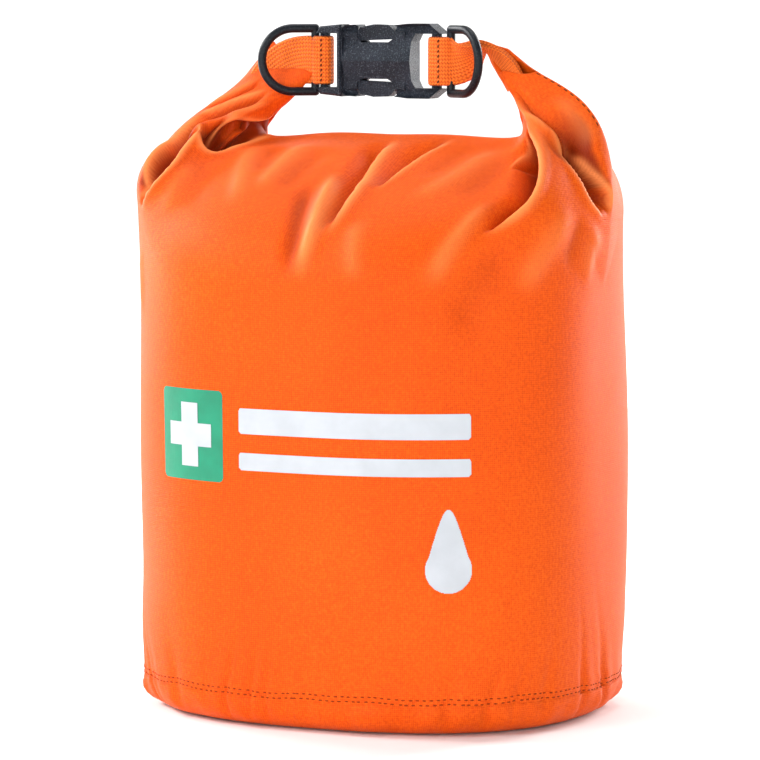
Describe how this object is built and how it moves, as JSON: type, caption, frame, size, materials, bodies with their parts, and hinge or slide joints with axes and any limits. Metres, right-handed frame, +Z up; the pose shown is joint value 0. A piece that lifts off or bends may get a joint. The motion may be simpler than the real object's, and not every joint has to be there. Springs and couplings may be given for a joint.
{
  "type": "first aid kit",
  "caption": "Soft roll-top dry bag holding a first aid kit, its rolled mouth drawn into a handle by a side-release buckle between two webbing straps with D-rings.",
  "frame": {"origin": "centre of the flat base, on the ground", "axes": "+Z up; the printed front faces -Y; +X to the right of someone facing the print"},
  "size_m": [0.149, 0.1263, 0.2115],
  "materials": {
    "orange_fabric": "satin coated plain weave",
    "base_fabric": "satin coated plain weave, coarser",
    "orange_webbing": "coarse ribbed weave",
    "seam_tape": "translucent film",
    "orange_thread": "twisted thread",
    "dark_thread": "twisted thread",
    "stiffener_plastic": "matte sheet",
    "buckle_plastic": "fine-grained moulding",
    "ring_plastic": "smooth moulding",
    "green_print": "printed film",
    "white_print": "printed film",
    "gauze": "open weave",
    "paper_wrap": "matte paper",
    "blue_wrap": "matte paper",
    "gold_foil": "metallised film",
    "clear_bag": "thin film over folded gloves",
    "adhesive_tape": "creped paper tape",
    "reel_plastic": "moulded",
    "steel": "brushed"
  },
  "bodies": {
    "bag": {"bag_shell": "orange_fabric", "base_panel": "base_fabric", "base_seam_tape": "seam_tape", "base_stitching": "orange_thread", "back_seam_tape": "seam_tape", "roll_closure": "orange_fabric", "mouth_stiffener": "stiffener_plastic", "wing_right": "orange_fabric", "strap_right": "orange_webbing", "bar_tack_right": "dark_thread", "buckle_socket": "buckle_plastic", "aid_patch": "green_print", "aid_cross": "white_print", "title_bar": "white_print", "subtitle_bar": "white_print", "drop_mark": "white_print", "bandage_roll_large": "gauze", "bandage_roll_small": "gauze", "tape_roll": "adhesive_tape", "tape_reel": "reel_plastic", "dressing_pack": "paper_wrap", "compress_pack": "blue_wrap", "triangular_bandage": "clear_bag", "rescue_blanket": "gold_foil", "glove_pack": "clear_bag", "wipe_sachets": "gold_foil", "plaster_strips": "adhesive_tape", "burn_dressing": "blue_wrap", "leaflet": "paper_wrap", "scissor_blade_fixed": "steel", "scissor_rivet": "steel", "tweezers": "steel"},
    "left_end": {"wing_left": "orange_fabric", "strap_left": "orange_webbing", "bar_tack_left": "dark_thread", "buckle_frame": "buckle_plastic"},
    "latch_upper": {"latch_arm_upper": "buckle_plastic"},
    "latch_lower": {"latch_arm_lower": "buckle_plastic"},
    "ring_left": {"d_ring_left": "ring_plastic"},
    "ring_right": {"d_ring_right": "ring_plastic"},
    "scissor_half": {"scissor_blade_moving": "steel"}
  },
  "joints": [
    {"name": "buckle_release", "type": "slide", "parent": "bag", "child": "left_end", "axis": [-1, 0, 0], "range_m": [0, 0.021], "deforming": ["latch_arm_upper", "latch_arm_lower"]},
    {"name": "latch_upper_squeeze", "type": "hinge", "parent": "left_end", "child": "latch_upper", "pos_m": [-0.0126, 0.004, 0.2069], "axis": [0, 1, 0], "range_deg": [0, 7], "stiffness_Nm_per_rad": 0.3},
    {"name": "latch_lower_squeeze", "type": "hinge", "parent": "left_end", "child": "latch_lower", "pos_m": [-0.0126, 0.004, 0.1931], "axis": [0, -1, 0], "range_deg": [0, 7], "stiffness_Nm_per_rad": 0.3},
    {"name": "ring_left_swing", "type": "hinge", "parent": "left_end", "child": "ring_left", "pos_m": [-0.025, 0.004, 0.2], "axis": [0, 0, 1], "range_deg": [-14, 54]},
    {"name": "ring_right_swing", "type": "hinge", "parent": "bag", "child": "ring_right", "pos_m": [0.0214, 0.004, 0.2], "axis": [0, 0, -1], "range_deg": [-14, 54]},
    {"name": "scissor_pivot", "type": "hinge", "parent": "bag", "child": "scissor_half", "pos_m": [0.006, 0, 0.119], "axis": [0, 0, 1], "range_deg": [0, 20]}
  ]
}
